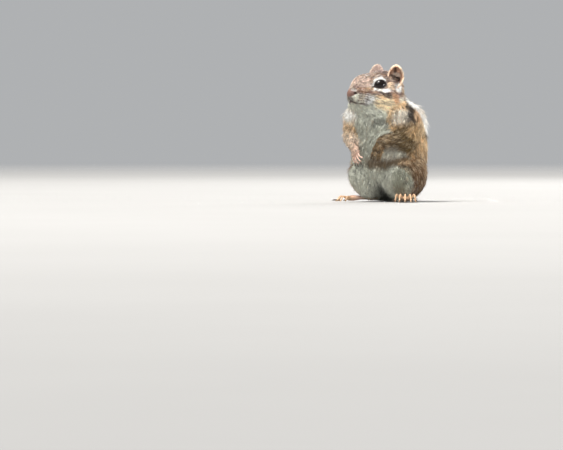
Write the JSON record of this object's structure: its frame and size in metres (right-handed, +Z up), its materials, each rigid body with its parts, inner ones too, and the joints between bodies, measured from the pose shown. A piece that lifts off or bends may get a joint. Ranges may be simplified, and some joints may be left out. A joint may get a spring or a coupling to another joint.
{
  "type": "life-size chipmunk figure",
  "caption": "Life-size chipmunk sitting upright on its haunches, head turned to its right, forepaws hanging in front of the belly, tail laid flat behind.",
  "frame": {"origin": "on the floor, under the middle of the whole figure's bounding box", "axes": "+Z up; the body faces -Y, its left side is +X, and the tail runs back towards +Y"},
  "size_m": [0.0756, 0.1462, 0.0985],
  "materials": {
    "fur_back": "short ochre-brown fur with dark and white stripes",
    "fur_belly": "soft off-white fur",
    "fur_tail": "longer dark fur with pale tips",
    "ear_skin": "thin pinkish-brown skin with very short hair",
    "bare_skin": "pinkish skin with short tan hair",
    "eye": "wet black"
  },
  "bodies": {
    "root": {"head": "fur_back", "ear_left": "ear_skin", "ear_right": "ear_skin", "eye_left": "eye", "eye_right": "eye", "neck": "fur_back", "torso": "fur_back", "upper_arm_left": "fur_back", "upper_arm_right": "fur_back", "forearm_left": "fur_back", "forearm_right": "fur_back", "hand_left": "bare_skin", "hand_right": "bare_skin", "thigh_left": "fur_back", "thigh_right": "fur_back", "shin_left": "fur_belly", "shin_right": "fur_belly", "foot_left": "bare_skin", "foot_right": "bare_skin", "tail": "fur_tail"}
  },
  "joints": []
}
